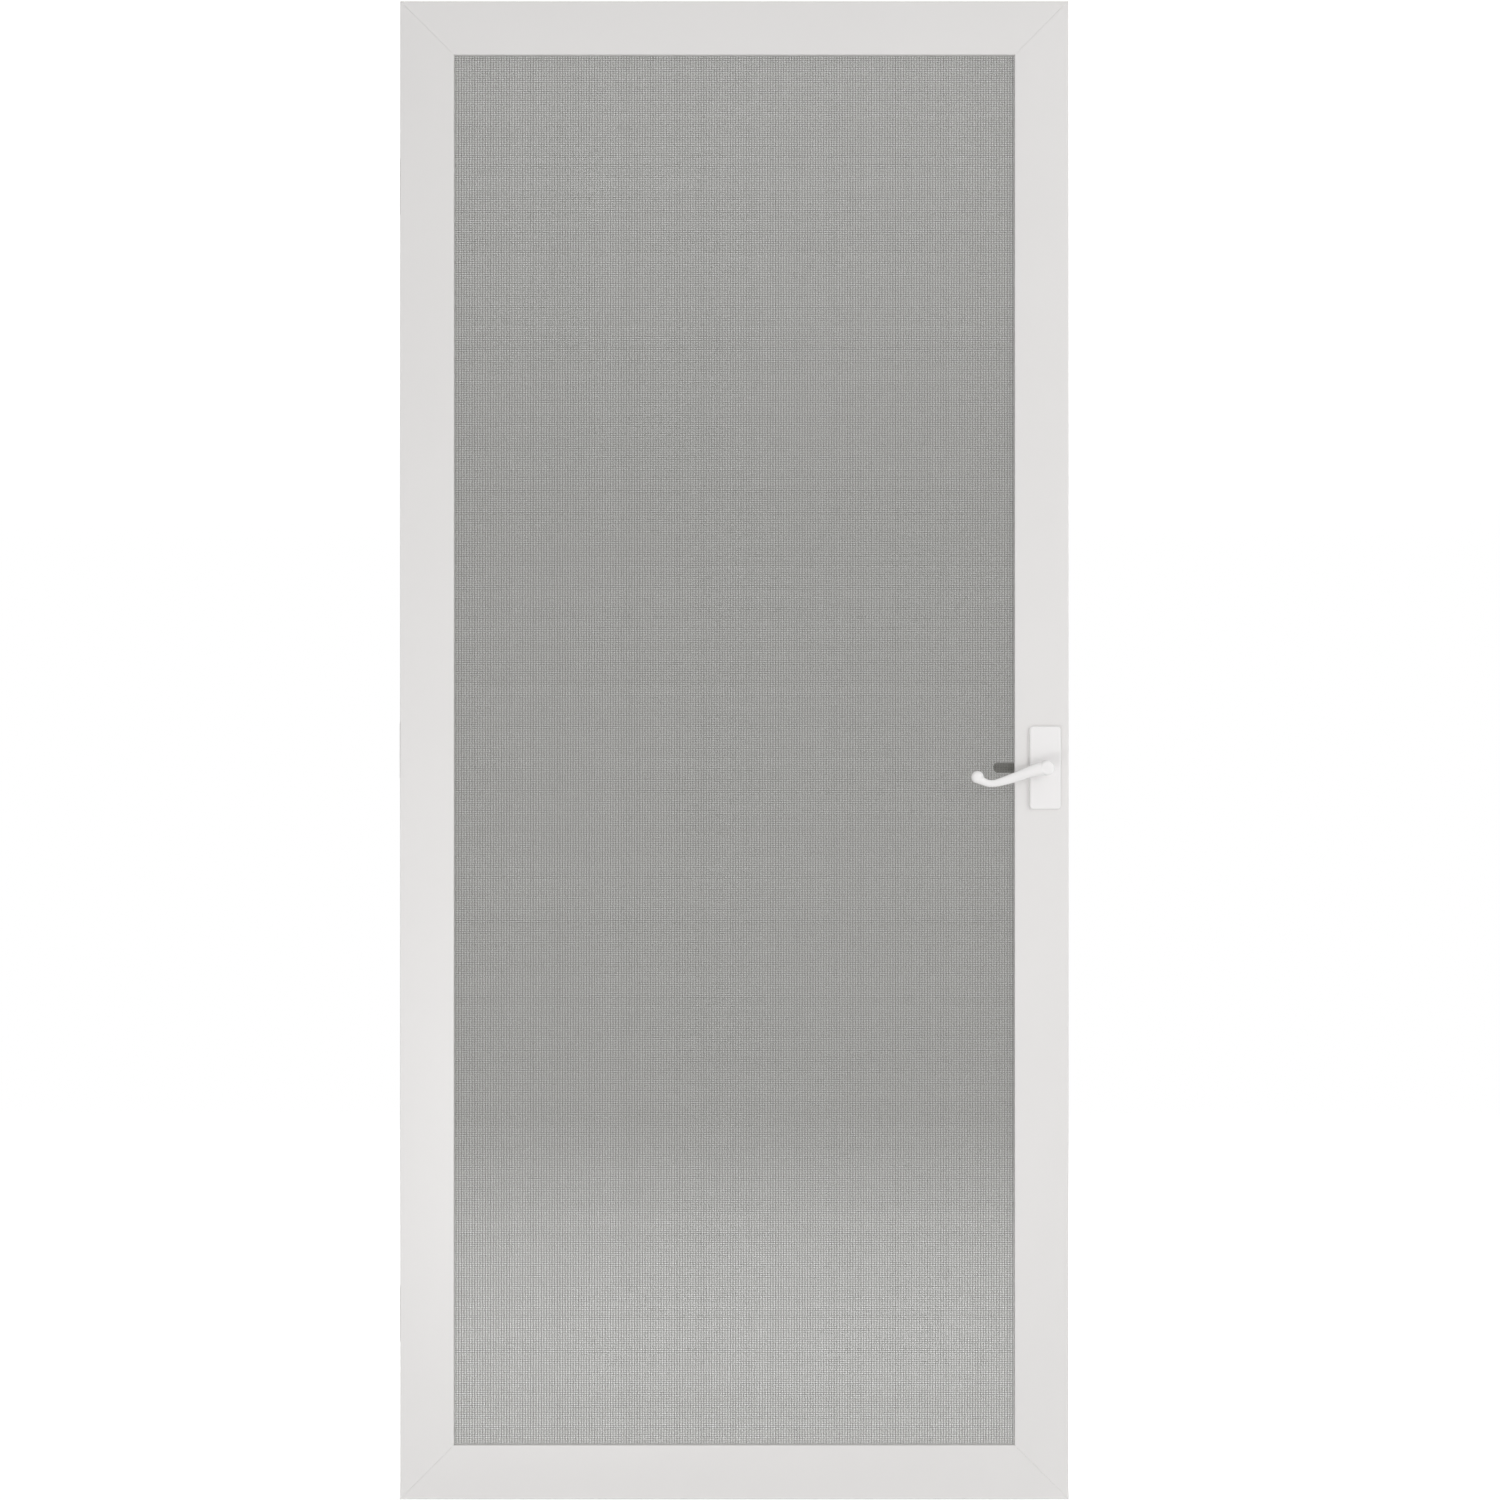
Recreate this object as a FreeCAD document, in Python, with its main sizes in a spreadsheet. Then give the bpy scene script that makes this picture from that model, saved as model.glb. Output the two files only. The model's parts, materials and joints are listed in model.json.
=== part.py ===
import FreeCAD, Part
import os
import re
import Sketcher
from FreeCAD import Rotation, Vector

# Storm door leaf seen from the front, which faces -Y. +X runs from the hinges to the latch, +Z is up.
# The origin is on the jamb face of the middle hinge, at half the height of the leaf.
# All sizes in millimetres.
SIZES = {
    # leaf and frame members
    "leaf_width": 905,
    "leaf_height": 2028,
    "leaf_thickness": 25,
    "member_width": 73,
    "wall": 1.6,
    "lip_width": 15,
    "lip_depth": 11,
    "groove_inset": 4,
    "groove_width": 5,
    "groove_depth": 5,
    "edge_radius": 1.5,
    "mitre_gap": 0.1,
    "cut_margin": 5,
    # insect screen and the cord that holds it
    "mesh_thickness": 0.8,
    "mesh_column_pitch": 63,
    "mesh_row_pitch": 156,
    "mesh_bar_width": 10,
    "spline_clearance": 0.1,
    # butt hinges, and the gap beside the jamb that the leaf's front flange leaves
    "jamb_gap": 1,
    "plate_thickness": 2,
    "plate_gap": 4,
    "plate_height": 76,
    "plate_width": 18,
    "knuckle_height": 25,
    "knuckle_clearance": 0.3,
    "pin_radius": 2.2,
    "pin_running_gap": 0.05,
    "pin_head_radius": 3.6,
    "pin_head_height": 2.5,
    "screw_hole_radius": 2.25,
    "countersink_radius": 3.6,
    "countersink_depth": 1,
    "screw_row_spacing": 8,
    "screw_column_spacing": 52,
    "hinge_end_distance": 250,
    # lever handle: spindle, plates and hubs
    "spindle_inset": 32,
    "spindle_height": 990,
    "spindle_side": 8,
    "spindle_clearance": 0.05,
    "spindle_hole_radius": 8,
    "escutcheon_width": 42.6,
    "escutcheon_height": 112.5,
    "escutcheon_depth": 7,
    "escutcheon_corner_radius": 5,
    "escutcheon_edge_radius": 2.5,
    "case_depth": 17,
    "case_edge_radius": 3,
    "hub_radius": 10,
    "hub_edge_radius": 4,
    "hub_clearance": 0.3,
    # front lever: for each section of the arm its distance towards the hinges, drop and height
    "lever_standoff": 34,
    "lever_hub_cover": 7,
    "root_reach": 0,
    "root_drop": 0,
    "root_height": 19,
    "collar_reach": 12,
    "collar_drop": 2,
    "collar_height": 17.4,
    "shoulder_reach": 23.8,
    "shoulder_drop": 5.4,
    "shoulder_height": 15,
    "middle_reach": 43.9,
    "middle_drop": 13.2,
    "middle_height": 13.1,
    "dip_reach": 57.3,
    "dip_drop": 17.4,
    "dip_height": 11.4,
    "low_reach": 70.7,
    "low_drop": 20.8,
    "low_height": 9.6,
    "rise_reach": 80.7,
    "rise_drop": 20.3,
    "rise_height": 9.6,
    "tip_reach": 88.6,
    "tip_drop": 16.5,
    "tip_height": 12,
    "neck_reach": 91.2,
    "neck_drop": 14.4,
    "neck_height": 15.6,
    "bulb_overlap": 0.1,
    "arm_flatness": 0.7,
    "bulb_reach": 93.5,
    "bulb_drop": 12.5,
    "bulb_radius": 8.4,
    # back lever
    "back_lever_standoff": 42,
    "back_lever_reach": 66,
    "back_lever_height": 14,
    "back_lever_depth": 11,
    "back_lever_edge_radius": 4,
    "back_lever_end_flat": 0.1,
    # latch tongue
    "tongue_height": 16,
    "tongue_thickness": 10,
    "tongue_reach": 9,
    "tongue_bevel": 6,
    "tongue_seat": 4,
    "tongue_clearance": 0.15,
}
LEVER_SECTIONS = ["root", "collar", "shoulder", "middle", "dip", "low", "rise", "tip", "neck"]

doc = FreeCAD.newDocument("storm_door")
sheet = doc.addObject("Spreadsheet::Sheet", "Sizes")
for row, (alias, value) in enumerate(SIZES.items(), start=1):
    sheet.set(f"A{row}", alias)
    sheet.set(f"B{row}", str(value))
    sheet.setAlias(f"B{row}", alias)
doc.recompute()

# Places that several pieces share, each worked out from the sheet.
HINGE_ROOM = "(2 * plate_thickness + plate_gap)"
KNUCKLE_RADIUS = "(plate_thickness + plate_gap / 2)"
PIN_X = KNUCKLE_RADIUS
PIN_Y = f"(leaf_thickness / 2 + {KNUCKLE_RADIUS})"
FRONT = "(-leaf_thickness / 2)"
BACK = "(leaf_thickness / 2)"
LEFT = "jamb_gap"
RIGHT = "(jamb_gap + leaf_width)"
BOTTOM = "(-leaf_height / 2)"
TOP = "(leaf_height / 2)"
SPINDLE_X = f"({RIGHT} - spindle_inset)"
SPINDLE_Z = f"({BOTTOM} + spindle_height)"
FLANGE = f"({HINGE_ROOM} - jamb_gap)"
GROOVE_START = "(member_width - lip_width + groove_inset)"
GROOVE_END = f"({GROOVE_START} + groove_width)"


def sheet_text(text):
    """An expression with every size name pointed at its cell of the sheet."""
    def pointed(word):
        return f"Sizes.{word[0]}" if word[0] in SIZES else word[0]

    return re.sub(r"[a-z][a-z_0-9]*", pointed, text)


def amount(text):
    """The present value of an expression in the sheet's sizes."""
    return float(sheet.evalExpression(sheet_text(text)))


def bind(thing, **texts):
    for name, text in texts.items():
        thing.setExpression(name.replace("__", "."), sheet_text(text))
    return thing


def place(thing, x, y, z):
    return bind(thing, Placement__Base__x=x, Placement__Base__y=y, Placement__Base__z=z)


def turn(thing, axis, degrees):
    thing.Placement = FreeCAD.Placement(Vector(0, 0, 0), Rotation(axis, degrees))


def plane(body, role):
    return next(item for item in body.Origin.OriginFeatures if item.Role == role)


def new_sketch(body, name, role):
    sketch = body.newObject("Sketcher::SketchObject", name)
    sketch.AttachmentSupport = (plane(body, role), [""])
    sketch.MapMode = "FlatFace"
    return sketch


def pin_point(sketch, line, end, x, y):
    """Fix one end of a line at a point of the sketch given by two expressions."""
    for kind, text in (("DistanceX", x), ("DistanceY", y)):
        index = sketch.addConstraint(Sketcher.Constraint(kind, -1, 1, line, end, amount(text)))
        sketch.setExpression(f"Constraints[{index}]", sheet_text(text))


def outline(sketch, corners):
    """A closed outline of straight lines through corners given as pairs of expressions."""
    first = sketch.GeometryCount
    points = [Vector(amount(x), amount(y), 0) for x, y in corners]
    for start, end in zip(points, points[1:] + points[:1]):
        sketch.addGeometry(Part.LineSegment(start, end), False)
    for number, (x, y) in enumerate(corners):
        following = (number + 1) % len(corners)
        sketch.addConstraint(Sketcher.Constraint("Coincident", first + number, 2, first + following, 1))
        pin_point(sketch, first + number, 1, x, y)


def circle(sketch, x, y, radius):
    ring = Part.Circle(Vector(amount(x), amount(y), 0), Vector(0, 0, 1), amount(radius))
    index = sketch.addGeometry(ring, False)
    pin_point(sketch, index, 3, x, y)
    size = sketch.addConstraint(Sketcher.Constraint("Radius", index, amount(radius)))
    sketch.setExpression(f"Constraints[{size}]", sheet_text(radius))


def new_body(label):
    body = doc.addObject("PartDesign::Body", label)
    body.Label = label
    return body


def pad(body, name, sketch, length, reverse=False):
    feature = body.newObject("PartDesign::Pad", name)
    feature.Profile = sketch
    feature.Reversed = reverse
    return bind(feature, Length=length)


def cut_through(body, name, sketch):
    feature = body.newObject("PartDesign::Pocket", name)
    feature.Profile = sketch
    feature.Type = "ThroughAll"
    feature.Midplane = True
    return feature


def round_edges(body, name, base, radius, chosen):
    """Round the edges of a feature that a test picks by their two ends."""
    doc.recompute()
    names = [
        f"Edge{number}"
        for number, edge in enumerate(base.Shape.Edges, start=1)
        if chosen(edge.Vertexes[0].Point, edge.Vertexes[-1].Point)
    ]
    feature = body.newObject("PartDesign::Fillet", name)
    feature.Base = (base, names)
    return bind(feature, Radius=radius)


def frame_member(label, length):
    """A hollow extrusion mitred at both ends: outer edge at x = 0, front at y = 0, running along z.

    Its front face runs out past the tube as a flange, and inwards as a hollow lip with the screen's groove.
    """
    body = new_body(label)
    section = new_sketch(body, label + "_section", "XY_Plane")
    tube_end = "member_width - lip_width"
    groove_floor = "lip_depth - groove_depth"
    outline(section, [
        ("0", "0"),
        ("member_width", "0"),
        ("member_width", "lip_depth"),
        (GROOVE_END, "lip_depth"),
        (GROOVE_END, groove_floor),
        (GROOVE_START, groove_floor),
        (GROOVE_START, "lip_depth"),
        (tube_end, "lip_depth"),
        (tube_end, "leaf_thickness"),
        (FLANGE, "leaf_thickness"),
        (FLANGE, "wall"),
        ("0", "wall"),
    ])
    outline(section, [
        (f"{FLANGE} + wall", "wall"),
        (f"{tube_end} - wall", "wall"),
        (f"{tube_end} - wall", "leaf_thickness - wall"),
        (f"{FLANGE} + wall", "leaf_thickness - wall"),
    ])
    outline(section, [
        (tube_end, "wall"),
        ("member_width - wall", "wall"),
        ("member_width - wall", "lip_depth - wall"),
        (f"{GROOVE_END} + wall", "lip_depth - wall"),
        (f"{GROOVE_END} + wall", f"{groove_floor} - wall"),
        (tube_end, f"{groove_floor} - wall"),
    ])
    bar = pad(body, label + "_bar", section, length)
    long_edges = {(0, 0), (amount(FLANGE), amount("leaf_thickness")), (amount("member_width"), 0)}
    round_edges(
        body, label + "_edges", bar, "edge_radius",
        lambda a, b: abs(a.z - b.z) > 1 and (round(a.x, 6), round(a.y, 6)) in long_edges,
    )
    mitres = new_sketch(body, label + "_mitres", "XZ_Plane")
    near, far = "-cut_margin", "member_width + cut_margin"
    outline(mitres, [(near, f"{near} + mitre_gap"), (far, near), (far, f"{far} + mitre_gap")])
    outline(mitres, [
        (near, f"{length} - ({near}) - mitre_gap"),
        (far, f"{length} - ({near})"),
        (far, f"{length} - ({far}) - mitre_gap"),
    ])
    body.Tip = cut_through(body, label + "_ends", mitres)
    return body


def frame():
    """Four members of one section: two stiles and two rails, met at 45 degrees."""
    hinge_stile = frame_member("hinge_stile", "leaf_height")
    place(hinge_stile, LEFT, FRONT, BOTTOM)
    latch_stile = frame_member("latch_stile", "leaf_height")
    spindle_hole = new_sketch(latch_stile, "latch_stile_spindle", "XZ_Plane")
    circle(spindle_hole, "spindle_inset", "leaf_height - spindle_height", "spindle_hole_radius")
    latch_stile.Tip = cut_through(latch_stile, "latch_stile_spindle_hole", spindle_hole)
    turn(latch_stile, Vector(0, 1, 0), 180)
    place(latch_stile, RIGHT, FRONT, TOP)
    top_rail = frame_member("top_rail", "leaf_width")
    turn(top_rail, Vector(0, 1, 0), 90)
    place(top_rail, LEFT, FRONT, TOP)
    bottom_rail = frame_member("bottom_rail", "leaf_width")
    turn(bottom_rail, Vector(0, 1, 0), -90)
    place(bottom_rail, RIGHT, FRONT, BOTTOM)
    return [hinge_stile, latch_stile, top_rail, bottom_rail]


def box(label, length, width, height):
    item = doc.addObject("Part::Box", label)
    item.Label = label
    return bind(item, Length=length, Width=width, Height=height)


def cylinder(label, radius, height):
    item = doc.addObject("Part::Cylinder", label)
    item.Label = label
    return bind(item, Radius=radius, Height=height)


def fuse(label, items):
    item = doc.addObject("Part::MultiFuse", label)
    item.Label = label
    item.Shapes = items
    item.Refine = True
    return item


def cut(label, base, tool):
    item = doc.addObject("Part::Cut", label)
    item.Label = label
    item.Base = base
    item.Tool = tool
    item.Refine = True
    return item


def rectangle(sketch, left, bottom, right, top):
    outline(sketch, [(left, bottom), (right, bottom), (right, top), (left, top)])


def repeat(label, original, axis, count, pitch):
    """A row of copies of a cut, for use in a grid."""
    row = doc.addObject("PartDesign::LinearPattern", label)
    row.Direction = (original.Profile[0], [axis])
    return bind(row, Length=f"({count} - 1) * {pitch}", Occurrences=count)


def mesh_sheet(width, height):
    """A sheet with a plain grid of openings, as many as the space between the members holds."""
    columns = "floor((leaf_width - 2 * member_width) / mesh_column_pitch)"
    rows = "floor((leaf_height - 2 * member_width) / mesh_row_pitch)"
    body = new_body("screen_mesh")
    face = new_sketch(body, "screen_face", "XZ_Plane")
    rectangle(face, f"-{width} / 2", f"-{height} / 2", f"{width} / 2", f"{height} / 2")
    pad(body, "screen_sheet", face, "mesh_thickness", True)
    left = f"(mesh_bar_width - {columns} * mesh_column_pitch) / 2"
    bottom = f"(mesh_bar_width - {rows} * mesh_row_pitch) / 2"
    right, top = f"{left} + mesh_column_pitch - mesh_bar_width", f"{bottom} + mesh_row_pitch - mesh_bar_width"
    corner = new_sketch(body, "screen_corner", "XZ_Plane")
    rectangle(corner, left, bottom, right, top)
    opening = cut_through(body, "screen_opening", corner)
    grid = body.newObject("PartDesign::MultiTransform", "screen_grid")
    grid.Originals = [opening]
    grid.Transformations = [
        repeat("screen_columns", opening, "H_Axis", columns, "mesh_column_pitch"),
        repeat("screen_rows", opening, "V_Axis", rows, "mesh_row_pitch"),
    ]
    body.Tip = grid
    return body


def screen():
    """The screen lies on the lips, and a round cord in the groove of each member holds its edge."""
    width, height = f"(leaf_width - 2 * {GROOVE_END})", f"(leaf_height - 2 * {GROOVE_END})"
    mesh = mesh_sheet(width, height)
    place(mesh, f"{LEFT} + leaf_width / 2", f"{FRONT} + lip_depth", "0")
    radius = "(groove_width / 2 - spline_clearance)"
    centre = f"({GROOVE_START} + groove_width / 2)"
    depth = f"{FRONT} + lip_depth - groove_depth + groove_width / 2"
    upright = f"leaf_height - 2 * {GROOVE_START} - 2 * spline_clearance"
    level = f"{width} + 2 * spline_clearance"
    left = cylinder("left_spline", radius, upright)
    place(left, f"{LEFT} + {centre}", depth, f"{BOTTOM} + {GROOVE_START} + spline_clearance")
    right = cylinder("right_spline", radius, upright)
    place(right, f"{RIGHT} - {centre}", depth, f"{BOTTOM} + {GROOVE_START} + spline_clearance")
    top = cylinder("top_spline", radius, level)
    turn(top, Vector(0, 1, 0), 90)
    place(top, f"{LEFT} + {GROOVE_END} - spline_clearance", depth, f"{TOP} - {centre}")
    bottom = cylinder("bottom_spline", radius, level)
    turn(bottom, Vector(0, 1, 0), 90)
    place(bottom, f"{LEFT} + {GROOVE_END} - spline_clearance", depth, f"{BOTTOM} + {centre}")
    return [mesh, left, right, top, bottom]


# Each hinge with its middle height, and the middle of the screws across the leaf.
HINGES = [
    ("top", f"({TOP} - hinge_end_distance)"),
    ("middle", "0"),
    ("bottom", f"({BOTTOM} + hinge_end_distance)"),
]
SCREW_Y = f"({BACK} - plate_width / 2)"


def screw_holes(label, middle_z, x, sink_x, sink_radii):
    """Tools for the four holes of a plate, each with a countersink in the plate's inner face."""
    tools = []
    for row in (-1, 1):
        for column in (-1, 1):
            y = f"{SCREW_Y} + {row} * screw_row_spacing / 2"
            z = f"{middle_z} + {column} * screw_column_spacing / 2"
            name = f"{label}_{row + 1}_{column + 1}"
            hole = cylinder(name + "_hole", "screw_hole_radius", "2 * plate_thickness")
            turn(hole, Vector(0, 1, 0), 90)
            tools.append(place(hole, f"{x} - plate_thickness / 2", y, z))
            sink = doc.addObject("Part::Cone", name + "_sink")
            bind(sink, Radius1=sink_radii[0], Radius2=sink_radii[1], Height="countersink_depth")
            turn(sink, Vector(0, 1, 0), 90)
            tools.append(place(sink, sink_x, y, z))
    return tools


def hinge_plate(label, middle_z, x, knuckles, other_knuckles, screws):
    """A plate with its knuckles on the pin, less the room for the other plate's knuckles and the screws."""
    low = f"({middle_z} - plate_height / 2)"
    plate = box(label + "_plate", "plate_thickness", f"plate_width + {KNUCKLE_RADIUS}", "plate_height")
    place(plate, x, f"{PIN_Y} - {KNUCKLE_RADIUS} - plate_width", low)
    barrels = []
    for number, (start, height) in enumerate(knuckles):
        barrel = cylinder(f"{label}_knuckle_{number}", KNUCKLE_RADIUS, height)
        barrels.append(place(barrel, PIN_X, PIN_Y, f"{low} + {start}"))
    solid = fuse(label + "_solid", [plate] + barrels)
    bore = cylinder(label + "_bore", "pin_radius + pin_running_gap", "plate_height + 2 * cut_margin")
    tools = [place(bore, PIN_X, PIN_Y, f"{low} - cut_margin")]
    for number, (start, height) in enumerate(other_knuckles):
        room = cylinder(f"{label}_room_{number}", f"{KNUCKLE_RADIUS} + knuckle_clearance", height)
        tools.append(place(room, PIN_X, PIN_Y, f"{low} + {start}"))
    return cut(label, solid, fuse(label + "_away", tools + screws))


def hinges():
    """Three butt hinges, pins behind the leaf: the jamb plate has two knuckles and the leaf plate one."""
    pieces = []
    outer = [("0", "knuckle_height"), ("plate_height - knuckle_height", "knuckle_height")]
    inner_height = "plate_height - 2 * knuckle_height - 2 * knuckle_clearance"
    inner = [("knuckle_height + knuckle_clearance", inner_height)]
    outer_room = [
        ("-knuckle_clearance", "knuckle_height + 2 * knuckle_clearance"),
        ("plate_height - knuckle_height - knuckle_clearance", "knuckle_height + 2 * knuckle_clearance"),
    ]
    inner_room = [("knuckle_height", "plate_height - 2 * knuckle_height")]
    for name, middle in HINGES:
        jamb, leaf = name + "_jamb_plate", name + "_leaf_plate"
        jamb_sink = "plate_thickness - countersink_depth"
        jamb_screws = screw_holes(jamb, middle, "0", jamb_sink, ("screw_hole_radius", "countersink_radius"))
        pieces.append(hinge_plate(jamb, middle, "0", outer, inner_room, jamb_screws))
        leaf_x = "plate_thickness + plate_gap"
        leaf_screws = screw_holes(leaf, middle, leaf_x, leaf_x, ("countersink_radius", "screw_hole_radius"))
        pieces.append(hinge_plate(leaf, middle, leaf_x, inner, outer_room, leaf_screws))
        shank = cylinder(name + "_pin_shank", "pin_radius", "plate_height")
        place(shank, PIN_X, PIN_Y, f"{middle} - plate_height / 2")
        head = cylinder(name + "_pin_head", "pin_head_radius", "pin_head_height")
        place(head, PIN_X, PIN_Y, f"{middle} + plate_height / 2")
        pieces.append(fuse(name + "_pin", [shank, head]))
    return pieces


def rounded_block(label, width, height, depth, corner, edge, reverse):
    """A block on its back face at y = 0, with rounded corners and a rounded rim round its outer face."""
    body = new_body(label)
    face = new_sketch(body, label + "_face", "XZ_Plane")
    right, up = f"{width} / 2", f"{height} / 2"
    outline(face, [(f"-{right}", f"-{up}"), (right, f"-{up}"), (right, up), (f"-{right}", up)])
    block = pad(body, label + "_block", face, depth, reverse)
    corners = round_edges(body, label + "_corners", block, corner, lambda a, b: abs(a.y - b.y) > 1)
    outer = amount(depth) if reverse else -amount(depth)
    round_edges(
        body, label + "_rim", corners, edge,
        lambda a, b: abs(a.y - outer) < 1e-6 and abs(b.y - outer) < 1e-6,
    )
    hole = new_sketch(body, label + "_hub_hole", "XZ_Plane")
    circle(hole, "0", "0", "spindle_hole_radius")
    body.Tip = cut_through(body, label + "_spindle_hole", hole)
    return body


def socket_cut(label, solid):
    """A lever less the square socket that holds its end of the spindle."""
    side = "(spindle_side + 2 * spindle_clearance)"
    reach = "leaf_thickness + lever_standoff + back_lever_standoff + 2 * spindle_clearance"
    socket = box(label + "_socket", side, reach, side)
    place(
        socket, f"{SPINDLE_X} - {side} / 2", f"{FRONT} - lever_standoff - spindle_clearance",
        f"{SPINDLE_Z} - {side} / 2",
    )
    return cut(label, solid, socket)


def spindle():
    length = "leaf_thickness + lever_standoff + back_lever_standoff"
    bar = box("spindle", "spindle_side", length, "spindle_side")
    half = "spindle_side / 2"
    return place(bar, f"{SPINDLE_X} - {half}", f"{FRONT} - lever_standoff", f"{SPINDLE_Z} - {half}")


def hub(label, length, start, reverse):
    """A round hub on the spindle, from a start beside its plate, with a rounded outer end."""
    body = new_body(label)
    face = new_sketch(body, label + "_face", "XZ_Plane")
    circle(face, "0", "0", "hub_radius")
    bar = pad(body, label + "_bar", face, length, reverse)
    outer = amount(length) if reverse else -amount(length)
    body.Tip = round_edges(
        body, label + "_end", bar, "hub_edge_radius",
        lambda a, b: abs(a.y - outer) < 1e-6 and abs(b.y - outer) < 1e-6,
    )
    return place(body, SPINDLE_X, start, SPINDLE_Z)


def front_lever():
    """A round hub, an arm that dips and rises towards its end, and a flattened bulb that it swells into."""
    length = "lever_standoff + lever_hub_cover - escutcheon_depth - hub_clearance"
    start = f"{FRONT} - escutcheon_depth - hub_clearance"
    parts = [hub("front_lever_hub", length, start, False)]
    depth = f"{FRONT} - lever_standoff"
    names = LEVER_SECTIONS + ["bulb"]
    spots = [(amount(name + "_reach"), amount(name + "_drop")) for name in names]
    sections = []
    for number, name in enumerate(names):
        before = spots[max(number - 1, 0)]
        after = spots[min(number + 1, len(spots) - 1)]
        heading = Vector(before[0] - after[0], 0, before[1] - after[1])
        across = heading.cross(Vector(0, 1, 0))
        half_height = "(bulb_radius - bulb_overlap)" if name == "bulb" else f"({name}_height / 2)"
        ring = doc.addObject("Part::Ellipse", "front_lever_" + name)
        bind(ring, MajorRadius=half_height, MinorRadius=f"{half_height} * arm_flatness")
        ring.Placement = FreeCAD.Placement(Vector(), Rotation(across, Vector(), heading, "ZXY"))
        sections.append(place(ring, f"{SPINDLE_X} - {name}_reach", depth, f"{SPINDLE_Z} - {name}_drop"))
    arm = doc.addObject("Part::Loft", "front_lever_arm")
    arm.Sections = sections
    arm.Solid = True
    parts.append(arm)
    bulb = doc.addObject("Part::Ellipsoid", "front_lever_bulb")
    bind(bulb, Radius1="bulb_radius", Radius2="bulb_radius", Radius3="bulb_radius * arm_flatness")
    parts.append(place(bulb, f"{SPINDLE_X} - bulb_reach", depth, f"{SPINDLE_Z} - bulb_drop"))
    return socket_cut("front_lever", fuse("front_lever_solid", parts))


def back_lever():
    """A round hub and a straight flat bar with a full round end."""
    length = "back_lever_standoff + back_lever_depth / 2 - case_depth - hub_clearance"
    start = f"{BACK} + case_depth + hub_clearance"
    boss = hub("back_lever_hub", length, start, True)
    body = new_body("back_lever_bar")
    face = new_sketch(body, "back_lever_face", "XZ_Plane")
    up = "back_lever_height / 2"
    outline(face, [("-back_lever_reach", f"-{up}"), ("0", f"-{up}"), ("0", up), ("-back_lever_reach", up)])
    bar = pad(body, "back_lever_block", face, "back_lever_depth", True)
    end = -amount("back_lever_reach")
    full_round = round_edges(
        body, "back_lever_end", bar, "back_lever_height / 2 - back_lever_end_flat",
        lambda a, b: abs(a.x - end) < 1e-6 and abs(b.x - end) < 1e-6 and abs(a.y - b.y) > 1,
    )
    body.Tip = round_edges(
        body, "back_lever_rims", full_round, "back_lever_edge_radius",
        lambda a, b: abs(a.y - b.y) < 1e-6 and min(a.x, b.x) < -1,
    )
    place(body, SPINDLE_X, f"{BACK} + back_lever_standoff - back_lever_depth / 2", SPINDLE_Z)
    return socket_cut("back_lever", fuse("back_lever_solid", [boss, body]))


def latch():
    """The case on the back of the latch stile, and the bevelled tongue in the slot of its outer side."""
    case = rounded_block(
        "back_case_block", "escutcheon_width", "escutcheon_height", "case_depth",
        "escutcheon_corner_radius", "case_edge_radius", True,
    )
    place(case, SPINDLE_X, BACK, SPINDLE_Z)
    side = f"{SPINDLE_X} + escutcheon_width / 2"
    tongue_y = f"{BACK} + (case_depth - tongue_thickness) / 2"
    slot = box(
        "tongue_slot", "tongue_seat + cut_margin", "tongue_thickness + 2 * tongue_clearance",
        "tongue_height + 2 * tongue_clearance",
    )
    place(
        slot, f"{side} - tongue_seat", f"{tongue_y} - tongue_clearance",
        f"{SPINDLE_Z} - tongue_height / 2 - tongue_clearance",
    )
    tongue = new_body("latch_tongue")
    section = new_sketch(tongue, "latch_tongue_section", "XY_Plane")
    end = "tongue_seat + tongue_reach"
    outline(section, [
        ("0", "0"),
        (f"{end} - tongue_bevel", "0"),
        (end, "tongue_bevel"),
        (end, "tongue_thickness"),
        ("0", "tongue_thickness"),
    ])
    pad(tongue, "latch_tongue_bar", section, "tongue_height")
    place(tongue, f"{side} - tongue_seat", tongue_y, f"{SPINDLE_Z} - tongue_height / 2")
    return [cut("back_case", case, slot), tongue]


def handle():
    plate = rounded_block(
        "front_escutcheon", "escutcheon_width", "escutcheon_height", "escutcheon_depth",
        "escutcheon_corner_radius", "escutcheon_edge_radius", False,
    )
    place(plate, SPINDLE_X, FRONT, SPINDLE_Z)
    return [plate, front_lever(), spindle(), back_lever()] + latch()


pieces = frame() + screen() + hinges() + handle()
doc.recompute()
broken = [item.Label for item in doc.Objects if "Invalid" in item.State or "Error" in item.State]
if broken:
    raise RuntimeError(f"failed objects: {broken}")
for piece in pieces:
    if piece.Shape.isNull() or not piece.Shape.isValid():
        raise RuntimeError(f"{piece.Label} has no valid shape")
os.makedirs("parts", exist_ok=True)
for piece in pieces:
    piece.Shape.exportStep(f"parts/{piece.Label}.step")
    print(f"{piece.Label}: {len(piece.Shape.Solids)} solid, {piece.Shape.Volume:.0f} cubic mm")
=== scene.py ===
"""Aluminium storm door: its paint, woven screen, ribbed cord, screws and a plain stage."""

import json
import math
import random

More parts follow.
